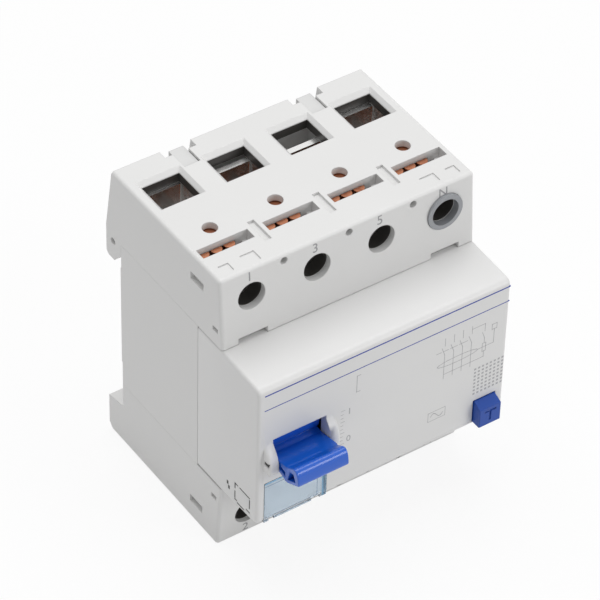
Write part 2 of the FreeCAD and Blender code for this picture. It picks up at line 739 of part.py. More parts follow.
def drive_link():
    eyes = []
    holes = []
    for tag, (y, z), hole in (("crank", CRANK, "crank_radius + pin_fit"), ("shaft", DRIVE, "link_play")):
        eyes.append(rod("link_eye_" + tag, "x", LINK_X + " - link_thick / 2", y, z, hole + " + 1.1",
                        "link_thick"))
        holes.append(rod("link_hole_" + tag, "x", LINK_X + " - link_thick", y, z, hole,
                         "2 * link_thick"))
    y0, z0 = value(CRANK[0]), value(CRANK[1])
    y1, z1 = value(DRIVE[0]), value(DRIVE[1])
    long = ((y1 - y0) ** 2 + (z1 - z0) ** 2) ** 0.5
    ny, nz = -(z1 - z0) / long * 1.2, (y1 - y0) / long * 1.2
    bar = slab("link_bar", "x", [(y0 + ny, z0 + nz), (y1 + ny, z1 + nz), (y1 - ny, z1 - nz),
                                 (y0 - ny, z0 - nz)], "link_thick", LINK_X)
    sub_part(cut("link_all", joined("link_solid", [bar] + eyes), holes), "drive_link")


# Contact shaft with its carriers and drive arm, and the contact arms it carries

def open_contacts(item):
    """Swing a piece built closed about the shaft to the open position."""
    turn = FreeCAD.Rotation(X_AXIS, -value("contact_angle"))
    pivot = V(0, -value("shaft_depth"), value("shaft_z"))
    item.Placement = FreeCAD.Placement(pivot - turn.multVec(pivot), turn)
    return item


ARM_FRONT = "(-bar_front + bar_thick + contact_thick + contact_touch + contact_thick)"


def contact_bridge():
    shaft = rod("shaft", "x", "-width / 2 + side_wall + 0.4", "-shaft_depth", "shaft_z",
                "shaft_radius", "width - 2 * side_wall - 0.8")
    carriers = [block("carrier_" + tag, x + " - carrier_half", x + " + carrier_half",
                      ARM_FRONT + " + arm_thick", "-shaft_depth + 2.8", "shaft_z - 3.2", "shaft_z + 3.2")
                for tag, low_tag, x in POLES]
    turned = open_contacts(joined("carriers", carriers))
    arm = block("drive_arm", LINK_X + " - link_thick / 2 - 1.5", LINK_X + " - link_thick / 2 - 0.3",
                "-shaft_depth - 21.5", "-shaft_depth", "shaft_z - 1.6", "shaft_z + drive_up + 1.5")
    pin = rod("drive_pin", "x", LINK_X + " - link_thick / 2 - 0.4", DRIVE[0], DRIVE[1], "1.0",
              "link_thick + 0.6")
    sub_part(joined("shaft_all", [shaft, turned, arm, pin]), "contact_shaft")
    arms = [block("arm_" + tag, x + " - arm_half", x + " + arm_half", ARM_FRONT,
                  ARM_FRONT + " + arm_thick", "shaft_z - 3", "arm_high")
            for tag, low_tag, x in POLES]
    sub_part(open_contacts(group("moving_arms", arms)), "moving_contact_arms")
    tips = [rod("moving_tip_" + tag, "y", x, ARM_FRONT + " - contact_thick", "contact_z",
                "contact_radius", "contact_thick")
            for tag, low_tag, x in POLES]
    sub_part(open_contacts(group("moving_tips", tips)), "moving_contact_tips")


# Terminal copper: a bent bar with a fork strip for each pole, upper and lower

def copper_bar(tag, x, tail_end):
    bar = slab("copper_" + tag, "x", [
        ("-bar_front", tail_end),
        ("-bar_front", "pocket_low + 0.5"),
        ("-fork_rear + copper_gap", "pocket_low + 0.5"),
        ("-fork_rear + copper_gap", "pocket_high + strip_thick - copper_gap"),
        ("-probe_depth + 2.4", "pocket_high + strip_thick - copper_gap"),
        ("-probe_depth + 2.4", "pocket_high + copper_gap"),
        ("-fork_rear + copper_gap + strip_thick", "pocket_high + copper_gap"),
        ("-fork_rear + copper_gap + strip_thick", "pocket_low + 0.5 + strip_thick"),
        ("-bar_front", "pocket_low + 0.5 + strip_thick"),
        ("-bar_front", "pocket_high - 0.7"),
        ("-bar_front + bar_thick", "pocket_high - 0.7"),
        ("-bar_front + bar_thick", tail_end),
    ], "2 * tail_half")
    place(bar, x, "0", "0")
    wide = block("copper_wide_" + tag, x + " - bar_half", x + " + bar_half", "-bar_front",
                 "-bar_front + bar_thick", "pocket_low + 0.5", "pocket_high - 0.7")
    strip = block("copper_strip_" + tag, x + " - strip_half", x + " + strip_half",
                  "-fork_rear + copper_gap", "-fork_rear + copper_gap + strip_thick",
                  "pocket_low + 2.7", "pocket_high - 0.2")
    bumps = [rod("bump_%s_%d" % (tag, i), "z", "%s + %s" % (x, offset),
                 "-fork_rear - 0.3", "fork_low + 0.6", "bump_radius",
                 "height / 2 - 1.6 - fork_low - 0.6")
             for i, offset in enumerate(("-5.3", "-5.3 + bump_pitch", "-5.3 + 2 * bump_pitch"))]
    trims = [block("bump_trim_" + tag, x + " - strip_half - 1", x + " + strip_half",
                   "-fork_rear + copper_gap + 0.1", "-fork_rear + 5", "pocket_low", "height / 2"),
             block("bump_top_trim_" + tag, x + " - strip_half - 1", x + " + strip_half",
                   "-fork_rear - 0.1", "-fork_rear + 5", "pocket_high - 0.2", "height / 2")]
    hole = rod("strip_hole_" + tag, "y", x, "-fork_front - 1", "terminal_z", "screw_radius + 0.4", "6")
    ridges = cut("ridges_" + tag, joined("bumps_" + tag, bumps), trims)
    whole = joined("copper_solid_" + tag, [bar, wide, strip, ridges])
    return cut("copper_all_" + tag, whole, [hole])


def terminal_bars():
    upper = [copper_bar("line_" + tag, "(" + x + ")", "tail_end") for tag, low_tag, x in POLES]
    sub_part(group("line_bars", upper), "line_terminal_bars")
    lower = [copper_bar("load_" + low_tag + "_" + tag, "(" + x + ")", "load_tail_end")
             for tag, low_tag, x in POLES]
    sub_part(mirrored("load_bars", group("load_bars_up", lower), Z_AXIS), "load_terminal_bars")
    tips = [rod("fixed_tip_" + tag, "y", x, "-bar_front + bar_thick", "contact_z",
                "contact_radius", "contact_thick")
            for tag, low_tag, x in POLES]
    sub_part(group("fixed_tips", tips), "fixed_contact_tips")


# Cage clamps: box of steel round the copper bar, drawn forward by the screw

def cage(label, tag, x, side, opened):
    z_mid = "(%d * terminal_z)" % side
    rear = "(-entry_rear + cage_rear - 0.3 - %s)" % opened
    outer = slab("cage_blank_" + tag, "z", [
        ("-cage_half", rear + " - cage_long"), ("-cage_half", rear),
        ("cage_half", rear), ("cage_half", rear + " - cage_long")], CAGE_TALL, z_mid)
    outer.setExpression("Placement.Base.x", bound(x))
    rounded(outer, "cage_corners_" + tag, "cage_radius",
            lambda a, b: near(a.x, b.x) and near(a.y, b.y))
    half = "(cage_half - cage_side)"
    inner = slab("cage_inside_" + tag, "z", [
        ("-" + half, rear + " - cage_long + cage_front"), ("-" + half, rear + " - cage_rear"),
        (half, rear + " - cage_rear"), (half, rear + " - cage_long + cage_front")],
        CAGE_TALL + " + 2", z_mid)
    inner.setExpression("Placement.Base.x", bound(x))
    rounded(inner, "cage_inner_corners_" + tag, "cage_radius - 0.8",
            lambda a, b: near(a.x, b.x) and near(a.y, b.y))
    thread = rod("cage_thread_" + tag, "y", x, rear + " - cage_long - 1", z_mid,
                 "screw_radius + screw_fit", "cage_front + 2")
    sub_part(cut("cage_all_" + tag, outer, [inner, thread]), label)


def terminal_screw(label, tag, x, side):
    z_mid = "(%d * terminal_z)" % side
    top = "(-fork_front - 0.4)"
    shank = rod("shank_" + tag, "y", x, top, z_mid, "screw_radius", "%s * -1 - bar_front - 0.1" % top)
    head = rod("head_" + tag, "y", x, top + " - head_tall", z_mid, "head_radius", "head_tall")
    arms = [block("cross_a_" + tag, x + " - 2.2", x + " + 2.2", top + " - head_tall - 1",
                  top + " - head_tall + cross_deep", z_mid + " - cross_wide / 2",
                  z_mid + " + cross_wide / 2"),
            block("cross_b_" + tag, x + " - cross_wide / 2", x + " + cross_wide / 2",
                  top + " - head_tall - 1", top + " - head_tall + cross_deep", z_mid + " - 2.2",
                  z_mid + " + 2.2")]
    sub_part(cut("screw_all_" + tag, joined("screw_solid_" + tag, [shank, head]), arms), label)


def terminals():
    for tag, low_tag, x in POLES:
        x = "(" + x + ")"
        cage("line_cage_" + tag, "line_" + tag, x, 1, "open_line_" + tag)
        cage("load_cage_" + low_tag, "load_" + low_tag, x, -1, "open_load")
        terminal_screw("line_screw_" + tag, "line_" + tag, x, 1)
        terminal_screw("load_screw_" + low_tag, "load_" + low_tag, x, -1)
    ring = rod("collar_outer", "y", "1.5 * pole_pitch", FACE_AT_SCREW + " - 0.45", "terminal_z",
               "bore_radius + 1.2", "1.9")
    bore = rod("collar_inner", "y", "1.5 * pole_pitch", FACE_AT_SCREW + " - 1", "terminal_z",
               "bore_radius", "4")
    sub_part(cut("collar_all", ring, [bore]), "neutral_collar")


# Summation transformer: ring core in a two-part case round the four conductors

def ring(name, low, high, outer, inner):
    y = "-coil_depth"
    return cut(name, rod(name + "_outer", "z", "0", y, low, outer, "(%s) - (%s)" % (high, low)),
               [rod(name + "_inner", "z", "0", y, "(%s) - 1" % low, inner,
                    "(%s) - (%s) + 2" % (high, low))])


def transformer():
    low = "coil_low"
    high = "coil_high"
    lid = high + " - coil_wall"
    tray = ring("case_blank", low, lid, "coil_outer", "coil_inner")
    channel = ring("case_channel", low + " + coil_wall", high, "coil_outer - coil_wall",
                   "coil_inner + coil_wall")
    sub_part(cut("case_all", tray, [channel]), "transformer_case")
    sub_part(ring("core_ring", low + " + coil_wall", lid + " - 0.1",
                  "coil_outer - coil_wall - 0.1", "coil_inner + coil_wall + 0.1"), "transformer_core")
    sub_part(ring("lid_ring", lid, high, "coil_outer", "coil_inner"), "transformer_lid")


def wire(name, points):
    """A round conductor: straight runs joined by balls of the same radius."""
    solids = []
    for i, (a, b) in enumerate(zip(points, points[1:])):
        start = V(*a)
        run = V(*b) - start
        shape = Part.makeCylinder(value("wire_radius"), run.Length, start, run)
        solids.append(shape)
        if i > 0:
            solids.append(Part.makeSphere(value("wire_radius"), start))
    item = doc.addObject("Part::Feature", name)
    item.Shape = solids[0].multiFuse(solids[1:]).removeSplitter()
    item.Placement = FreeCAD.Placement()
    return item


def load_conductors():
    """Four conductors from under the contact shaft through the ring to the load bars."""
    r = value("wire_radius")
    mid = -value("coil_depth")
    step = r + 0.7
    over = value("coil_high") + r + 0.5
    under = value("coil_low") - r - 0.4
    start = value("shaft_z") - 4.5
    wires = []
    for tag, low_tag, x in POLES:
        px = value(x)
        side = -1 if px < 0 else 1
        outer = abs(px) > value("pole_pitch")
        if outer:
            tail = -value("bar_front") - r
            after = [(side * 12, -21, under), (px, tail, under)]
            y = mid - step
        else:
            tail = -value("bar_front") + value("bar_thick") + r
            after = [(px, tail, under)]
            y = mid + step
        wires.append(wire("wire_" + tag, [(px, -value("shaft_depth"), start),
                                          (px, -value("shaft_depth"), over),
                                          (side * step, y, over), (side * step, y, under)] + after))
    sub_part(group("wires", wires), "load_conductors")


# Circuit board, trip relay, latch lever and test circuit

def electronics():
    board = block("board", "lever_x + lever_wide / 2 + 8.9", "width / 2 - side_wall - 2", "-board_depth - board_thick",
                  "-board_depth", "-nose_front_half + cap_wall + 0.3", "nose_front_half - cap_wall - 0.3")
    sub_part(board, "circuit_board")
    left = "(relay_x - relay_half)"
    front = "(-board_depth - board_thick - relay_tall)"
    case = block("relay_box", left, "relay_x + relay_half", front, "-board_depth - board_thick",
                 "relay_z - relay_half", "relay_z + relay_half")
    axis_y = "(-board_depth - board_thick - relay_tall / 2)"
    bore = rod("relay_bore", "x", left + " - 1", axis_y, "relay_z", "plunger_radius + 0.05",
               "relay_half + 5")
    sub_part(cut("relay_all", case, [bore]), "trip_relay_case")
    plunger = rod("plunger_rod", "x", left + " - 1.5", axis_y, "relay_z", "plunger_radius",
                  "relay_half + 4")
    collar = rod("plunger_collar", "x", left + " - 1.5", axis_y, "relay_z", "plunger_radius + 0.8", "0.8")
    sub_part(joined("plunger_all", [plunger, collar]), "trip_relay_plunger")
    latch_x = "(%s - 2.9)" % left
    bar = block("latch_bar", latch_x + " - 0.9", latch_x + " + 0.9", axis_y + " - 1.6",
                axis_y + " + 1.6", "relay_z - 14.5", "relay_z + 2.5")
    hub = rod("latch_hub", "y", latch_x, axis_y + " - 1.6", "relay_z - 12", "2.2", "3.2")
    hub_bore = rod("latch_bore", "y", latch_x, axis_y + " - 3", "relay_z - 12", "1.05", "6")
    sub_part(cut("latch_all", joined("latch_solid", [bar, hub]), [hub_bore]), "latch_lever")
    stud = rod("latch_stud_rod", "y", latch_x, axis_y + " - 2.6", "relay_z - 12", "1.0",
               "relay_tall / 2 + 2.6")
    sub_part(stud, "latch_stud")
    sub_part(rod("resistor_rod", "x", "12", "-board_depth - board_thick - 1.9", "-15", "1.9", "11"),
             "test_resistor")


def test_button():
    low, high = "button_low", "button_high"
    face = "(-nose_depth - button_proud)"
    head = slab("button_head", "x", [
        ("-nose_depth + 3.6", low), ("-nose_depth + 3.6", high), ("-nose_depth - 0.2", high),
        (face, high + " - 1.1"), (face, low + " + 0.2"), (face + " + 0.3", low)],
        "button_wide", "button_x")
    stem = rod("button_stem", "y", "button_x", "-nose_depth + 3.5", "(%s + %s) / 2" % (low, high),
               "1.6", "4.5")
    letter = [block("letter_bar", "button_x - 1.7", "button_x + 1.7", face + " - 1", face + " + 0.3",
                    "button_high - 2.6", "button_high - 2.0"),
              block("letter_stem", "button_x - 0.3", "button_x + 0.3", face + " - 1", face + " + 0.3",
                    "button_high - 5.4", "button_high - 2.3")]
    sub_part(cut("button_all", joined("button_solid", [head, stem]), letter), "test_button")
    middle = "(%s + %s) / 2" % (low, high)
    spring = cut("spring_tube", rod("spring_outer", "y", "button_x", "-nose_depth + 3.7", middle,
                                    "2.6", "nose_depth - 3.7 - board_depth - board_thick - 1.0"),
                 [rod("spring_inner", "y", "button_x", "-nose_depth + 3", middle, "1.9", "30")])
    sub_part(spring, "test_button_spring")
    leaf = block("leaf", "button_x - 2.5", "button_x + 2.5", "-board_depth - board_thick - 0.8",
                 "-board_depth - board_thick", middle + " - 2.6", middle + " + 2.6")
    sub_part(leaf, "test_contact")


# Rail clips: four slides that lock behind the rail's edges

def rail_clips():
    for tag, x in (("left", "(-clip_x)"), ("right", "clip_x")):
        nose = "(rail_half - clip_bite)"
        plate = slab("clip_plate_" + tag, "x", [
            ("clip_front", nose), ("clip_front", "clip_plate_high"),
            ("clip_front + clip_thick", "clip_plate_high"),
            ("clip_front + clip_thick", nose + " + 1.8"), ("clip_front + 1.6", nose)],
            "2 * clip_half")
        place(plate, x, "0", "0")
        tab = block("clip_tab_" + tag, x + " - clip_tab_half", x + " + clip_tab_half",
                    "-clip_tab_front", "clip_front + 1.9", "clip_tab_low", "clip_high")
        upper = sub_part(joined("clip_" + tag, [plate, tab]), "rail_clip_top_" + tag)
        sub_part(mirrored("clip_low_" + tag, upper, Z_AXIS), "rail_clip_bottom_" + tag)


base_housing()
front_cap()
label_window()
toggle_lever()
mechanism_frame()
drive_link()
contact_bridge()
terminal_bars()
terminals()
transformer()
load_conductors()
electronics()
test_button()
rail_clips()
doc.recompute()

# Every feature must be sound before anything is written
for item in doc.Objects:
    if "Invalid" in item.State or "Error" in item.State:
        raise SystemExit("feature failed: %s %s" % (item.Name, item.State))
for item in finished:
    shape = item.Shape
    if shape.isNull() or not shape.isValid() or not shape.Solids:
        raise SystemExit("sub-part is not a valid solid: " + item.Label)

os.makedirs("parts", exist_ok=True)
for item in finished:
    item.Shape.exportStep("parts/%s.step" % item.Label)
    box = item.Shape.BoundBox
    print("%-24s solids %d volume %9.2f  x %6.1f %6.1f  y %6.1f %6.1f  z %6.1f %6.1f" % (
        item.Label, len(item.Shape.Solids), item.Shape.Volume, box.XMin, box.XMax, box.YMin,
        box.YMax, box.ZMin, box.ZMax))
print("%d sub-parts" % len(finished))
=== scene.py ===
import json
import math

import bpy
from mathutils import Matrix, Vector


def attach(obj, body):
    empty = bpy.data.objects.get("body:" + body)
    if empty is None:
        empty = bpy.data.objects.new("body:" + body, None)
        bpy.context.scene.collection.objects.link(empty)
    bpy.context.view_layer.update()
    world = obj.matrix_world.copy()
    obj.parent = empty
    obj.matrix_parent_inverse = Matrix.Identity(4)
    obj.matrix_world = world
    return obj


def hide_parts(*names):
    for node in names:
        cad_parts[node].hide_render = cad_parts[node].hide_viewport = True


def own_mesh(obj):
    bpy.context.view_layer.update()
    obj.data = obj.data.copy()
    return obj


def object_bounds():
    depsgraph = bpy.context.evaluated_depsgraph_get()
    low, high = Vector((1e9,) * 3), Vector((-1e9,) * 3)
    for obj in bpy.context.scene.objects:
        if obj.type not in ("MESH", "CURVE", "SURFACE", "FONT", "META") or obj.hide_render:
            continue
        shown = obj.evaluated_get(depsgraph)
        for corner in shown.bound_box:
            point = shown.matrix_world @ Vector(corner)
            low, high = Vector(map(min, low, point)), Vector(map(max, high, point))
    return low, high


MM = 0.001

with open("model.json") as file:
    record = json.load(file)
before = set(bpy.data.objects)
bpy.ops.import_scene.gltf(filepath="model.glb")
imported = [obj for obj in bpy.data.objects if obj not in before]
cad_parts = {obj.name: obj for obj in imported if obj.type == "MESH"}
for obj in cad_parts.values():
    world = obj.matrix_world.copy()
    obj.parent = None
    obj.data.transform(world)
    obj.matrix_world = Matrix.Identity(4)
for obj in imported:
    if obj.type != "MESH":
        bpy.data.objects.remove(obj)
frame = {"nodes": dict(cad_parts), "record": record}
cad_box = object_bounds()
nodes = frame["nodes"]


# Every size and place below is in millimetres from the middle of the rail seat, with X to the
# right, Y to the back and Z up, except the edges of the finishes and the studio's own sizes.


# Node groups shared by the finishes

def new_group(name, inputs, outputs):
    group = bpy.data.node_groups.new(name, "ShaderNodeTree")
    for label, kind, value in inputs:
        socket = group.interface.new_socket(label, in_out="INPUT", socket_type=kind)
        socket.default_value = value
    for label, kind in outputs:
        group.interface.new_socket(label, in_out="OUTPUT", socket_type=kind)
    start = group.nodes.new("NodeGroupInput")
    end = group.nodes.new("NodeGroupOutput")
    return group, start, end


def math_node(tree, operation, a, b=None):
    node = tree.nodes.new("ShaderNodeMath")
    node.operation = operation
    for slot, value in ((0, a), (1, b)):
        if value is None:
            continue
        if isinstance(value, (int, float)):
            node.inputs[slot].default_value = value
        else:
            tree.links.new(value, node.inputs[slot])
    return node.outputs[0]


def noise(tree, position, scale, detail):
    node = tree.nodes.new("ShaderNodeTexNoise")
    node.inputs["Detail"].default_value = detail
    tree.links.new(position, node.inputs["Vector"])
    if isinstance(scale, (int, float)):
        node.inputs["Scale"].default_value = scale
    else:
        tree.links.new(scale, node.inputs["Scale"])
    return node.outputs["Fac"]


def moulded_skin_group():
    """Fine spark-eroded grain, with slow drifts of tone and gloss across a moulding."""
    group, start, end = new_group(
        "moulded_skin",
        [("Grain", "NodeSocketFloat", 5200.0), ("Depth", "NodeSocketFloat", 0.5),
         ("Base", "NodeSocketColor", (0.8, 0.8, 0.8, 1.0)),
         ("Roughness", "NodeSocketFloat", 0.45)],
        [("Color", "NodeSocketColor"), ("Roughness", "NodeSocketFloat"),
         ("Height", "NodeSocketFloat")])
    place = group.nodes.new("ShaderNodeTexCoord").outputs["Object"]
    fine = noise(group, place, start.outputs["Grain"], 2.0)
    drift = noise(group, place, 38.0, 3.0)
    group.links.new(math_node(group, "MULTIPLY", fine, start.outputs["Depth"]),
                    end.inputs["Height"])
    shine = math_node(group, "MULTIPLY", math_node(group, "SUBTRACT", drift, 0.5), 0.10)
    group.links.new(math_node(group, "ADD", start.outputs["Roughness"], shine),
                    end.inputs["Roughness"])
    tone = group.nodes.new("ShaderNodeHueSaturation")
    group.links.new(start.outputs["Base"], tone.inputs["Color"])
    bright = math_node(group, "ADD", math_node(group, "MULTIPLY", drift, 0.05), 0.975)
    group.links.new(bright, tone.inputs["Value"])
    group.links.new(tone.outputs["Color"], end.inputs["Color"])
    return group


def worked_metal_group():
    """Drawn or stamped metal: scratches along one way, stains and a little tarnish."""
    group, start, end = new_group(
        "worked_metal",
        [("Base", "NodeSocketColor", (0.7, 0.7, 0.7, 1.0)),
         ("Tarnish", "NodeSocketColor", (0.4, 0.4, 0.4, 1.0)),
         ("Roughness", "NodeSocketFloat", 0.3), ("Amount", "NodeSocketFloat", 0.3)],
        [("Color", "NodeSocketColor"), ("Roughness", "NodeSocketFloat"),
         ("Height", "NodeSocketFloat")])
    place = group.nodes.new("ShaderNodeTexCoord").outputs["Object"]
    stretch = group.nodes.new("ShaderNodeMapping")
    stretch.inputs["Scale"].default_value = (0.12, 1.0, 1.0)
    group.links.new(place, stretch.inputs["Vector"])
    lines = noise(group, stretch.outputs["Vector"], 4200.0, 2.0)
    stain = noise(group, place, 260.0, 4.0)
    mask = math_node(group, "MULTIPLY", math_node(group, "POWER", stain, 2.0),
                     start.outputs["Amount"])
    mix = group.nodes.new("ShaderNodeMix")
    mix.data_type = "RGBA"
    group.links.new(mask, mix.inputs["Factor"])
    group.links.new(start.outputs["Base"], mix.inputs["A"])
    group.links.new(start.outputs["Tarnish"], mix.inputs["B"])
    group.links.new(mix.outputs["Result"], end.inputs["Color"])
    rough = math_node(group, "ADD", start.outputs["Roughness"],
                      math_node(group, "MULTIPLY", mask, 0.5))
    group.links.new(rough, end.inputs["Roughness"])
    group.links.new(math_node(group, "MULTIPLY", lines, 0.5), end.inputs["Height"])
    return group


MOULDED = moulded_skin_group()
WORKED = worked_metal_group()

GRAIN_HEIGHT = 0.01 * MM
GRAIN_STRENGTH = 0.35
EDGE_SAMPLES = 6


def surface(name, group, settings, edge=0.0, **plain):
    """A finish: a Principled surface fed by one of the groups above, its edges eased."""
    material = bpy.data.materials.new(name)
    material.use_nodes = True
    tree = material.node_tree
    shader = tree.nodes["Principled BSDF"]
    for label, value in plain.items():
        shader.inputs[label.replace("_", " ")].default_value = value
    skin = tree.nodes.new("ShaderNodeGroup")
    skin.node_tree = group
    for label, value in settings.items():
        skin.inputs[label].default_value = value
    tree.links.new(skin.outputs["Color"], shader.inputs["Base Color"])
    tree.links.new(skin.outputs["Roughness"], shader.inputs["Roughness"])
    bump = tree.nodes.new("ShaderNodeBump")
    bump.inputs["Distance"].default_value = GRAIN_HEIGHT
    bump.inputs["Strength"].default_value = GRAIN_STRENGTH
    tree.links.new(skin.outputs["Height"], bump.inputs["Height"])
    tree.links.new(bump.outputs["Normal"], shader.inputs["Normal"])
    if edge:
        eased = tree.nodes.new("ShaderNodeBevel")
        eased.samples = EDGE_SAMPLES
        eased.inputs["Radius"].default_value = edge
        tree.links.new(eased.outputs["Normal"], bump.inputs["Normal"])
    return material


def moulded(name, colour, roughness, depth=0.5, edge=0.0, **plain):
    """A moulded, printed or painted surface, its grain as deep as depth says."""
    return surface(name, MOULDED, {"Base": (*colour, 1.0), "Roughness": roughness,
                                   "Depth": depth}, edge, **plain)


def metal(name, colour, tarnish, roughness, amount=0.3):
    """Bare or plated metal, with more tarnish the higher its amount."""
    return surface(name, WORKED, {"Base": (*colour, 1.0), "Tarnish": (*tarnish, 1.0),
                                  "Roughness": roughness, "Amount": amount}, Metallic=1.0)


FINISH = {
    "housing": moulded("grey_housing_plastic", (0.70, 0.698, 0.692), 0.42, 0.5, 0.00030),
    "cap": moulded("grey_cap_plastic", (0.70, 0.698, 0.694), 0.36, 0.4, 0.00035),
    "lever_blue": moulded("blue_lever_plastic", (0.010, 0.105, 0.56), 0.30, 0.10, 0.00030,
                          Specular_IOR_Level=0.1, Coat_Weight=0.9, Coat_Roughness=0.12),
    "button_blue": moulded("blue_button_plastic", (0.014, 0.068, 0.36), 0.34, 0.10, 0.00030,
                           Specular_IOR_Level=0.3),
    "clear_blue": moulded("clear_window_plastic", (0.86, 0.935, 0.99), 0.04, 0.0, 0.00025,
                          Transmission_Weight=1.0, IOR=1.45),
    "card": moulded("label_card_paper", (0.80, 0.81, 0.83), 0.7),
    "copper": metal("bare_copper", (0.58, 0.25, 0.14), (0.10, 0.03, 0.02), 0.24, 1.4),
    "silver": metal("contact_silver", (0.86, 0.86, 0.84), (0.45, 0.42, 0.38), 0.30, 0.5),
    "clamp_steel": metal("zinc_plated_clamp", (0.78, 0.78, 0.77), (0.42, 0.40, 0.38), 0.22),
    # The screws' dark base is partly painted shade: plated steel made darker so that the heads
    # read dark down in their wells
    "screw_steel": metal("plated_screw_steel_and_painted_shade", (0.30, 0.29, 0.27), (0.14, 0.13, 0.12), 0.26),
    # Near black and partly metallic
    "blackened": moulded("near_black_metallic", (0.045, 0.045, 0.048), 0.4, 0.3, Metallic=0.6),
    "steel": metal("bright_steel", (0.66, 0.66, 0.67), (0.36, 0.34, 0.32), 0.28),
    "shaft_plastic": moulded("black_shaft_plastic", (0.035, 0.035, 0.038), 0.45),
    "collar": moulded("translucent_collar", (0.45, 0.465, 0.49), 0.25, 0.1,
                      Transmission_Weight=0.35, IOR=1.46),
    "coil_case": moulded("black_coil_case", (0.03, 0.03, 0.03), 0.5),
    "core": metal("wound_core_tape", (0.30, 0.29, 0.28), (0.12, 0.10, 0.08), 0.45, 0.6),
    "board": moulded("green_board_laminate", (0.02, 0.16, 0.07), 0.35, 0.2),
    "relay": moulded("black_relay_case", (0.025, 0.025, 0.028), 0.3),
    "resistor": moulded("blue_grey_resistor", (0.12, 0.30, 0.36), 0.3),
    "clip": moulded("grey_clip_plastic", (0.64, 0.64, 0.635), 0.42, 0.5, 0.0003),
}
INK_BLUE = moulded("blue_ink", (0.02, 0.05, 0.33), 0.5, 0.1)
INK_GREY = moulded("grey_ink", (0.30, 0.30, 0.31), 0.6, 0.1)
INK_PALE = moulded("pale_grey_ink", (0.40, 0.40, 0.41), 0.6, 0.1)
# Bright sky blue for the window's lit top and right edges: painted light
PAINTED_EDGE_LIGHT_BLUE = moulded("painted_window_edge_light", (0.26, 0.55, 0.78), 0.6, 0.1)
INK_STEEL_BLUE = moulded("steel_blue_ink", (0.22, 0.32, 0.45), 0.6, 0.1)
# Near black, for plates of painted shade in a groove and a slot
PAINTED_SHADE_BLACK = moulded("painted_shade_black", (0.05, 0.05, 0.05), 0.6, 0.1)

for part in frame["record"]["subparts"]:
    mesh = nodes[part["node"]].data
    mesh.materials.clear()
    mesh.materials.append(FINISH[part["material_slot"]])


# Building helpers

MERGE = 0.002
INK_THICK = 0.02
NOSE_Y = -59.0
CAPITAL_TALL = 0.72


def take(piece):
    """Deselect everything, then select one piece and make it the active one."""
    bpy.ops.object.select_all(action="DESELECT")
    piece.select_set(True)
    bpy.context.view_layer.objects.active = piece


def apply_place():
    bpy.ops.object.transform_apply(location=True, rotation=True, scale=True)


def apply_step(piece, kind, **settings):
    """Add a modifier to the active piece, set it and apply it."""
    step = piece.modifiers.new(kind.lower(), kind)
    for label, value in settings.items():
        setattr(step, label, value)
    bpy.ops.object.modifier_apply(modifier=step.name)


def edit_all():
    """Go to edit mode with the whole mesh selected."""
    bpy.ops.object.mode_set(mode="EDIT")
    bpy.ops.mesh.select_mode(type="VERT")
    bpy.ops.mesh.select_all(action="SELECT")


def edit_where(piece, kind, wanted):
    """Go to edit mode with those edges or faces selected that are wanted."""
    bpy.ops.object.mode_set(mode="EDIT")
    bpy.ops.mesh.select_mode(type=kind)
    bpy.ops.mesh.select_all(action="DESELECT")
    bpy.ops.object.mode_set(mode="OBJECT")
    items = piece.data.edges if kind == "EDGE" else piece.data.polygons
    for item in items:
        item.select = wanted(item)
    bpy.ops.object.mode_set(mode="EDIT")


def leave_edit():
    bpy.ops.mesh.select_mode(type="VERT")
    bpy.ops.object.mode_set(mode="OBJECT")


def ends(piece, edge):
    """The two ends of an edge."""
    return [piece.data.vertices[i].co / MM for i in edge.vertices]


def close_shell():
    """Merge the doubles of the active shell, fill its ends and turn its faces outwards."""
    edit_all()
    bpy.ops.mesh.remove_doubles(threshold=MERGE * MM)
    bpy.ops.mesh.fill_holes(sides=0)
    bpy.ops.mesh.select_all(action="SELECT")
    bpy.ops.mesh.normals_make_consistent(inside=False)
    leave_edit()


def smooth(angle):
    bpy.ops.object.shade_smooth_by_angle(angle=math.radians(angle))


def join(pieces):
    bpy.ops.object.select_all(action="DESELECT")
    for piece in pieces:
        piece.select_set(True)
    bpy.context.view_layer.objects.active = pieces[0]
    bpy.ops.object.join()
    return bpy.context.object


def copy_at(piece, place):
    """A copy with a mesh of its own, moved from the origin to a place."""
    copy = piece.copy()
    copy.data = piece.data.copy()
    bpy.context.scene.collection.objects.link(copy)
    copy.location = Vector(place) * MM
    return copy


def repeat(piece, places):
    """Copies of a piece at several places, joined; the first one made goes."""
    copies = [copy_at(piece, place) for place in places]
    bpy.data.objects.remove(piece, do_unlink=True)
    return join(copies)


def settle(piece, name, material, body):
    """Put a finished piece's place into its mesh, name it and let it ride on its body."""
    take(piece)
    apply_place()
    piece.name = name
    piece.data.name = name
    piece.data.materials.clear()
    piece.data.materials.append(material)
    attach(piece, body)
    return piece


def block(centre, size, turn=0.0):
    """A block of a size round a centre, turned about Y."""
    bpy.ops.object.select_all(action="DESELECT")
    bpy.ops.mesh.primitive_cube_add(size=1.0)
    piece = bpy.context.object
    piece.scale = Vector(size) * MM
    piece.rotation_euler = (0.0, turn, 0.0)
    piece.location = Vector(centre) * MM
    apply_place()
    return piece


def plate(x0, x1, y0, y1, z0, z1):
    """A thin plate between two corners."""
    return block(((x0 + x1) / 2, (y0 + y1) / 2, (z0 + z1) / 2), (x1 - x0, y1 - y0, z1 - z0))


def stroke(x0, z0, x1, z1, wide):
    """A printed stroke between two points of the nose's front."""
    return block(((x0 + x1) / 2, NOSE_Y, (z0 + z1) / 2),
                 (math.hypot(x1 - x0, z1 - z0) + wide, 2 * INK_THICK, wide),
                 -math.atan2(z1 - z0, x1 - x0))


def strokes(wide, *runs):
    return [stroke(*run, wide) for run in runs]


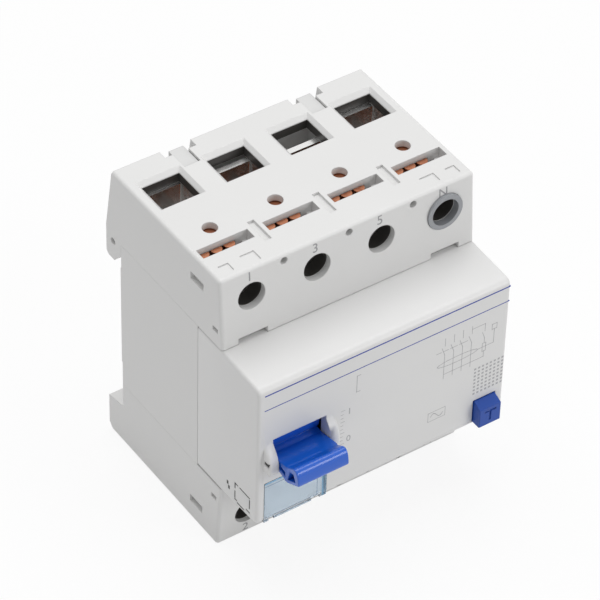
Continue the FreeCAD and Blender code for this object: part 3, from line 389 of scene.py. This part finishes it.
def lettering(text, x, y, z, height, lean=0.0, weight=0.0):
    """A letter or number as a thin mesh that faces the front, centred on a point."""
    bpy.ops.object.select_all(action="DESELECT")
    bpy.ops.object.text_add()
    words = bpy.context.object
    words.data.body = text
    words.data.align_x = "CENTER"
    words.data.align_y = "CENTER"
    words.data.size = height / CAPITAL_TALL * MM
    words.data.extrude = INK_THICK * MM
    words.data.offset = weight * MM
    words.rotation_euler = (math.radians(90.0 - lean), 0.0, 0.0)
    words.location = (x * MM, y * MM, z * MM)
    bpy.ops.object.convert(target="MESH")
    apply_place()
    return bpy.context.object


def printed(name, ink, pieces):
    """Marks joined to one piece, which rides on the housing: print, and also plates of painted
    light and of painted shade.
    """
    settle(join(pieces), name, ink, "housing")


def prism(outline, x0, x1):
    """An outline across X, drawn out from one end to the other."""
    bpy.ops.object.select_all(action="DESELECT")
    bpy.ops.mesh.primitive_circle_add(vertices=len(outline), radius=MM, fill_type="NGON")
    bar = bpy.context.object
    for vertex, (y, z) in zip(bar.data.vertices, outline):
        vertex.co = (x0 * MM, y * MM, z * MM)
    edit_all()
    bpy.ops.mesh.extrude_region_move(
        TRANSFORM_OT_translate={"value": ((x1 - x0) * MM, 0.0, 0.0)})
    bpy.ops.mesh.select_all(action="SELECT")
    bpy.ops.mesh.normals_make_consistent(inside=False)
    leave_edit()
    return bar


def combine(piece, other, operation):
    """Cut another solid away from a piece or add it, and use that solid up."""
    take(piece)
    apply_step(piece, "BOOLEAN", operation=operation, object=other, solver="EXACT")
    bpy.data.objects.remove(other, do_unlink=True)


def merged_copy(node):
    """A separate copy of a CAD node with its doubles merged."""
    piece = copy_at(nodes[node], (0.0, 0.0, 0.0))
    for key in list(piece.keys()):
        del piece[key]
    take(piece)
    edit_all()
    bpy.ops.mesh.remove_doubles(threshold=MERGE * MM)
    leave_edit()
    return piece


# Front cap, its rounded cheeks and corners shaded smooth

cap = merged_copy("front_cap")
smooth(32.0)
apply_step(cap, "WEIGHTED_NORMAL", keep_sharp=True)
settle(cap, "grey_front_cap", FINISH["cap"], "housing")
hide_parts("front_cap")


# Toggle lever: the solid's drum and stem with a softly rounded grip bar in front

GRIP_OUTLINE = (
    (-63.9, -0.02), (-64.5, 0.14), (-65.0, 0.36), (-65.5, 0.68), (-66.0, 1.05), (-66.4, 1.34),
    (-66.8, 1.56), (-67.2, 1.67), (-67.6, 1.64), (-68.0, 1.44), (-68.35, 1.08), (-68.62, 0.60),
    (-68.82, 0.02), (-68.97, -0.60), (-69.09, -1.30), (-69.16, -1.95), (-69.08, -2.38),
    (-68.80, -2.66), (-67.6, -3.28), (-66.2, -4.0), (-65.0, -4.64), (-64.6, -4.80),
    (-64.2, -4.76), (-63.9, -4.58))
GRIP_HOLLOW = ((-65.6, -0.4), (-67.0, 0.0), (-68.0, -2.0), (-64.7, -3.6))
GRIP_SPACE = ((-64.0, -9.0), (-64.0, 9.0), (-72.0, 9.0), (-72.0, -9.0))
GRIP_HOLLOW_DEEP = 8.0
GRIP_ROUNDED_FROM = -64.3
GRIP_ROUNDING = 0.32
LEVER_MERGE = 0.003
LEVER_ENDS = (-31.08, -16.92)


def grip_bar():
    """The grip, hollow at its left end, with the edges of both ends rounded."""
    bar = prism(GRIP_OUTLINE, *LEVER_ENDS)

    def rounded(edge):
        a, b = ends(bar, edge)
        return abs(a.x - b.x) < 0.01 and min(a.y, b.y) < GRIP_ROUNDED_FROM

    edit_where(bar, "EDGE", rounded)
    bpy.ops.mesh.bevel(offset=GRIP_ROUNDING * MM, segments=3, affect="EDGES")
    leave_edit()
    combine(bar, prism(GRIP_HOLLOW, LEVER_ENDS[0] - 1.0, LEVER_ENDS[0] + GRIP_HOLLOW_DEEP),
            "DIFFERENCE")
    return bar


lever = merged_copy("toggle_lever")
combine(lever, prism(GRIP_SPACE, LEVER_ENDS[0] - 1.0, LEVER_ENDS[1] + 1.0), "DIFFERENCE")
combine(lever, grip_bar(), "UNION")
take(lever)
edit_all()
bpy.ops.mesh.remove_doubles(threshold=LEVER_MERGE * MM)
bpy.ops.mesh.dissolve_limited(angle_limit=math.radians(0.5))
leave_edit()
smooth(32.0)
apply_step(lever, "WEIGHTED_NORMAL", keep_sharp=True, weight=100)
settle(lever, "blue_toggle_lever", FINISH["lever_blue"], "lever")
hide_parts("toggle_lever")


# Dark sleeves in the screw wells, behind the front wall, and in the conductor entries: painted
# shade, a near-black lining that stands in for the shade inside these openings

POLES = ((-27.0, "1", "2"), (-9.0, "3", "4"), (9.0, "5", "6"), (27.0, "N", "N"))
SCREW_Z = 34.8
WELL_SLEEVE_Y = -39.35
WELL_SLEEVE_RADIUS = 3.71
WELL_SLEEVE_LONG = 3.7
WELL_SLEEVE_WALL = 0.16
ENTRY_SLEEVE_Y = -9.25
ENTRY_SLEEVE_Z = 40.2
ENTRY_SLEEVE_SIZE = (10.4, 9.9, 2.3)
ENTRY_SLEEVE_WALL = 0.12
# Near-black colour of the sleeves: painted shade inside the wells and entries
PAINTED_SHADE_SLEEVE = moulded("painted_shade_well_sleeve", (0.050, 0.047, 0.044), 0.4, 0.3)


def well_sleeve():
    """A thin tube along Y, which carries painted shade in a screw well."""
    bpy.ops.object.select_all(action="DESELECT")
    bpy.ops.mesh.primitive_cylinder_add(vertices=64, radius=WELL_SLEEVE_RADIUS * MM,
                                        depth=WELL_SLEEVE_LONG * MM, end_fill_type="NOTHING",
                                        rotation=(math.pi / 2, 0.0, 0.0))
    sleeve = bpy.context.object
    apply_place()
    apply_step(sleeve, "SOLIDIFY", thickness=WELL_SLEEVE_WALL * MM, offset=-1.0)
    smooth(30.0)
    return sleeve


def entry_sleeve():
    """Four thin walls, open above and below, which carry painted shade in a conductor entry."""
    sleeve = block((0.0, 0.0, 0.0), ENTRY_SLEEVE_SIZE)
    edit_where(sleeve, "FACE", lambda face: abs(face.normal.z) > 0.9)
    bpy.ops.mesh.delete(type="FACE")
    leave_edit()
    apply_step(sleeve, "SOLIDIFY", thickness=ENTRY_SLEEVE_WALL * MM, offset=-1.0)
    return sleeve


well_places = [(x, WELL_SLEEVE_Y, side * SCREW_Z) for x, _, _ in POLES for side in (1, -1)]
entry_places = [(x, ENTRY_SLEEVE_Y, side * ENTRY_SLEEVE_Z)
                for x, _, _ in POLES for side in (1, -1)]
# The sleeves are painted shade, laid in every screw well and conductor entry
settle(repeat(well_sleeve(), well_places), "screw_well_painted_shade_sleeves", PAINTED_SHADE_SLEEVE, "housing")
settle(repeat(entry_sleeve(), entry_places), "conductor_entry_painted_shade_sleeves", PAINTED_SHADE_SLEEVE, "housing")


# Terminal screws with a cut thread behind their cross heads

BODY_OF = {node: body for body, kept in frame["record"]["behaviour"]["bodies"].items()
           for node in kept}
HEAD_BACK = -33.9
THREAD_START = -34.5
THREAD_STEPS = 20
PITCH = 1.0
TURNS = 17
CREST = 2.40
ROOT = 2.02
TOOTH = ((ROOT, 0.0), (CREST, 0.44), (ROOT, PITCH), (CREST, 0.56))


def cut_thread():
    """The tooth's open outline, wound round the Y axis once for each pitch."""
    bpy.ops.object.select_all(action="DESELECT")
    bpy.ops.mesh.primitive_plane_add(size=1.0)
    thread = bpy.context.object
    edit_all()
    bpy.ops.mesh.delete(type="ONLY_FACE")
    leave_edit()
    for vertex, (radius, along) in zip(thread.data.vertices, TOOTH):
        vertex.co = (radius * MM, along * MM, 0.0)
    edit_where(thread, "EDGE",
               lambda edge: {round(end.y, 2) for end in ends(thread, edge)} == {0.0, PITCH})
    bpy.ops.mesh.delete(type="EDGE")
    leave_edit()
    apply_step(thread, "SCREW", axis="Y", screw_offset=PITCH * MM, iterations=TURNS,
               steps=THREAD_STEPS, render_steps=THREAD_STEPS)
    close_shell()
    return thread


def threaded_screw(node, thread, x, z):
    """The CAD screw's head with a copy of the thread behind it."""
    head = merged_copy(node)
    edit_all()
    bpy.ops.mesh.bisect(plane_co=(0.0, (HEAD_BACK + 0.02) * MM, 0.0), plane_no=(0.0, 1.0, 0.0),
                        use_fill=True, clear_outer=True)
    leave_edit()
    screw = join([head, copy_at(thread, (x, THREAD_START, z))])
    smooth(25.0)
    settle(screw, "threaded_" + node, FINISH["screw_steel"], BODY_OF[node])
    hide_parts(node)


thread = cut_thread()
for x, above, below in POLES:
    threaded_screw("line_screw_" + above.lower(), thread, x, SCREW_Z)
    threaded_screw("load_screw_" + below.lower(), thread, x, -SCREW_Z)
bpy.data.objects.remove(thread, do_unlink=True)


# Coil spring behind the test button

SPRING_PLACE = (29.85, -55.2, -16.9)
SPRING_RADIUS = 2.25
SPRING_WIRE = 0.32
SPRING_RISE = 17.1
COILS = 9
COIL_STEPS = 24 * COILS


def button_spring():
    """A wire's round section, wound round the Y axis from the button backwards."""
    bpy.ops.object.select_all(action="DESELECT")
    bpy.ops.mesh.primitive_circle_add(vertices=10, radius=SPRING_WIRE * MM)
    spring = bpy.context.object
    edit_all()
    bpy.ops.transform.translate(value=(SPRING_RADIUS * MM, (SPRING_WIRE + 0.01) * MM, 0.0))
    leave_edit()
    apply_step(spring, "SCREW", axis="Y", angle=math.radians(360.0 * COILS),
               screw_offset=SPRING_RISE * MM, steps=COIL_STEPS, render_steps=COIL_STEPS)
    close_shell()
    smooth(40.0)
    spring.location = Vector(SPRING_PLACE) * MM
    return spring


coil_spring = settle(button_spring(), "test_button_coil_spring", FINISH["steel"],
                     "housing")
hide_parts("test_button_spring")
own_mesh(coil_spring)


# Printed marks on the nose

printed("blue_nose_lines", INK_BLUE,
        [plate(-33.9, 35.3, NOSE_Y - INK_THICK, NOSE_Y + 0.2, low, high)
         for low, high in ((19.42, 19.78), (14.88, 15.12))])

printed("lever_position_marks", INK_PALE,
        [lettering("I", -10.0, NOSE_Y, 2.6, 1.9, weight=0.02),
         lettering("0", -10.0, NOSE_Y, -6.2, 1.9)])
printed("lever_scale_ticks", INK_PALE,
        [stroke(-12.4, 3.6 - 1.2 * i, -12.4 + (0.7 if i % 3 else 1.1), 3.6 - 1.2 * i, 0.12)
         for i in range(10)])


def circuit_diagram():
    """Four poles with their contacts, the ring round them and the test branch."""
    runs = []
    for x in (17.0, 19.6, 22.2, 24.8):
        runs += [(x, 12.0, x, 9.6), (x - 0.9, 9.2, x, 6.8), (x, 6.8, x, -1.0)]
    runs += [(14.6, 8.0, 16.0, 8.0), (16.6, 8.0, 18.0, 8.0), (18.6, 8.0, 20.6, 8.0),
             (21.2, 8.0, 23.6, 8.0)]
    runs += [(24.8, 11.0, 28.6, 11.0), (28.6, 11.0, 28.6, 8.6), (27.9, 8.4, 28.6, 6.4),
             (28.6, 6.4, 28.6, 4.8), (28.1, 4.8, 29.1, 4.8), (28.1, 4.8, 28.1, 2.2),
             (29.1, 4.8, 29.1, 2.2), (28.1, 2.2, 29.1, 2.2), (28.6, 2.2, 28.6, 0.4),
             (28.6, 0.4, 17.0, 0.4), (26.9, 3.6, 31.4, 3.6), (31.4, 3.6, 31.4, 8.0),
             (30.7, 8.0, 32.1, 8.0), (30.7, 9.6, 32.1, 9.6), (30.7, 8.0, 30.7, 9.6),
             (32.1, 8.0, 32.1, 9.6)]
    ring = [(20.9 + 5.9 * math.cos(math.radians(a)), 3.6 + 0.9 * math.sin(math.radians(a)))
            for a in range(0, 360, 20)]
    runs += [(*ring[i - 1], *ring[i]) for i in range(len(ring))]
    return strokes(0.14, *runs)


DOT_PITCH = 1.15
DOT_PLACES = [(26.525 + DOT_PITCH * i, NOSE_Y, -2.8 - DOT_PITCH * k)
              for i in range(8) for k in range(8)]
printed("circuit_diagram", INK_PALE, circuit_diagram())
settle(repeat(block((0.0, 0.0, 0.0), (0.60, 2 * INK_THICK, 0.55)), DOT_PLACES),
       "dot_grid", INK_PALE, "housing")
printed("rating_bracket", INK_PALE,
        strokes(0.16, (-8.2, 12.9, -7.2, 12.9), (-8.2, 12.9, -8.2, 7.8), (-8.2, 7.8, -7.2, 7.8)))

WAVE = [(13.9 + 3.6 * i / 16, -12.0 + 0.75 * math.sin(math.tau * i / 16)) for i in range(17)]
printed("current_sign", INK_PALE,
        strokes(0.14, *[(*WAVE[i], *WAVE[i + 1]) for i in range(16)])
        + strokes(0.12, (13.2, -10.6, 18.2, -10.6), (13.2, -13.4, 18.2, -13.4),
                  (13.2, -13.4, 13.2, -10.6), (18.2, -13.4, 18.2, -10.6)))


# Painted light of the window's bright top and right edges, laid on the label card, and the card's
# printed frame, seen through the window

CARD_Y = -57.45


def card_plate(x0, x1, z0, z1):
    return plate(x0, x1, CARD_Y - INK_THICK, CARD_Y, z0, z1)


# Strips along the card's top and right: painted light of the window's bright edges
printed("window_edge_painted_light", PAINTED_EDGE_LIGHT_BLUE,
        [card_plate(-33.8, -15.8, -10.1, -9.0), card_plate(-16.6, -15.8, -21.7, -10.1)])
printed("label_card_frame", INK_STEEL_BLUE,
        [card_plate(-33.0, -17.9, -10.9, -10.75), card_plate(-33.0, -17.9, -21.1, -20.95),
         card_plate(-33.0, -32.85, -20.95, -10.9), card_plate(-18.05, -17.9, -20.95, -10.9)])


# Terminal numbers on the sloping faces above and below the nose

FACE_LEAN = 4.55
FACE_Y = -42.37
MARK_Z = 40.4
MARK_TALL = 2.6
MARK_SHIFT = -0.4
for x, above, below in POLES:
    settle(lettering(above, x + MARK_SHIFT, FACE_Y, MARK_Z, MARK_TALL, FACE_LEAN),
           "terminal_mark_upper_" + above, INK_GREY, "housing")
    settle(lettering(below, x + MARK_SHIFT, FACE_Y, -MARK_Z, MARK_TALL, -FACE_LEAN),
           "terminal_mark_lower_" + below, INK_GREY, "housing")


# Black plates of painted shade at the floors of the broken groove on the left side and of the slot
# in the lever's cheek

GROOVE_WIDE = 0.45
GROOVE = ((49.5, 50.6, 14.7, 14.7), (51.6, 55.6, 14.7, 14.7), (49.5, 49.5, 14.7, 16.2),
          (49.5, 49.5, 17.4, 19.4), (55.6, 55.6, 15.4, 18.0), (50.6, 53.2, 20.4, 20.4),
          (54.4, 55.6, 19.4, 19.4), (49.5, 50.2, 19.9, 19.9), (46.2, 46.5, 16.6, 17.4),
          (46.8, 47.1, 17.8, 18.6))
printed("knock_out_groove_painted_shade", PAINTED_SHADE_BLACK,
        [plate(-35.46, -35.18, -far - GROOVE_WIDE, -close, -low - GROOVE_WIDE, -high)
         for close, far, high, low in GROOVE])
# A black plate of painted shade down in the slot of the lever's cheek
settle(plate(-33.72, -33.3, -60.95, -59.3, -1.5, -0.3), "seal_slot_painted_shade", PAINTED_SHADE_BLACK, "housing")


# Camera, lamps, floor and world

CAMERA_PLACE = Vector((-371.85, -548.82, 592.76)) * MM
CAMERA_RIGHT = Vector((0.82733, -0.56129, 0.02193))
CAMERA_UP = Vector((0.36516, 0.56709, 0.73829))
LENS = 219.13
SENSOR = 36.0


def camera():
    """The camera fitted to the photograph's view."""
    data = bpy.data.cameras.new("camera")
    data.lens = LENS
    data.sensor_width = SENSOR
    data.clip_start = 0.01
    data.clip_end = 20.0
    item = bpy.data.objects.new("camera", data)
    bpy.context.scene.collection.objects.link(item)
    right = CAMERA_RIGHT.normalized()
    up = (CAMERA_UP - right * CAMERA_UP.dot(right)).normalized()
    back = right.cross(up)
    turn = Matrix((right, up, back)).transposed()
    item.matrix_world = Matrix.Translation(CAMERA_PLACE) @ turn.to_4x4()
    bpy.context.scene.camera = item


def shows_white(tree):
    """A value that is 1 for what the camera sees directly, in gloss or through glass."""
    path = tree.nodes.new("ShaderNodeLightPath")
    seen = math_node(tree, "MAXIMUM", path.outputs["Is Camera Ray"], path.outputs["Is Glossy Ray"])
    return math_node(tree, "MAXIMUM", seen, path.outputs["Is Transmission Ray"])


FLOOR_LIFT = 0.88
FLOOR_GAP = 0.05
SKY_LIGHT = 0.45
SOFTBOXES = (("top_softbox", (0.05, 0.15, 1.1), 1.0, 8.7),
             ("front_softbox", (0.80, -1.25, 0.55), 0.6, 5.6))


def floor_material():
    """A pale matt floor that the camera sees nearly white, with the part's shadow on it."""
    material = bpy.data.materials.new("studio_floor")
    material.use_nodes = True
    tree = material.node_tree
    shader = tree.nodes["Principled BSDF"]
    shader.inputs["Base Color"].default_value = (0.86, 0.86, 0.86, 1.0)
    shader.inputs["Roughness"].default_value = 0.9
    shader.inputs["Specular IOR Level"].default_value = 0.0
    glow = tree.nodes.new("ShaderNodeEmission")
    glow.inputs["Strength"].default_value = 1.0
    mix = tree.nodes.new("ShaderNodeMixShader")
    tree.links.new(math_node(tree, "MULTIPLY", shows_white(tree), FLOOR_LIFT), mix.inputs[0])
    tree.links.new(shader.outputs[0], mix.inputs[1])
    tree.links.new(glow.outputs[0], mix.inputs[2])
    tree.links.new(mix.outputs[0], tree.nodes["Material Output"].inputs["Surface"])
    return material


def studio():
    """Floor, white surroundings and two square softboxes aimed at the part."""
    bpy.ops.object.select_all(action="DESELECT")
    bpy.ops.mesh.primitive_plane_add(size=6.0,
                                     location=(0.0, 0.0, cad_box[0].z - FLOOR_GAP * MM))
    floor = bpy.context.object
    floor.name = "studio_floor"
    floor.data.materials.append(floor_material())

    world = bpy.data.worlds.new("studio_world")
    bpy.context.scene.world = world
    world.use_nodes = True
    tree = world.node_tree
    sky = tree.nodes["Background"]
    sky.inputs["Color"].default_value = (1.0, 1.0, 1.0, 1.0)
    level = math_node(tree, "MULTIPLY", shows_white(tree), 1.0 - SKY_LIGHT)
    tree.links.new(math_node(tree, "ADD", level, SKY_LIGHT), sky.inputs["Strength"])

    for name, place, size, power in SOFTBOXES:
        data = bpy.data.lights.new(name, "AREA")
        data.shape = "SQUARE"
        data.size = size
        data.energy = power
        lamp = bpy.data.objects.new(name, data)
        bpy.context.scene.collection.objects.link(lamp)
        aim = (-Vector(place)).to_track_quat("-Z", "Y").to_matrix().to_4x4()
        lamp.matrix_world = Matrix.Translation(place) @ aim
    bpy.context.scene.view_settings.view_transform = "Standard"


camera()
studio()
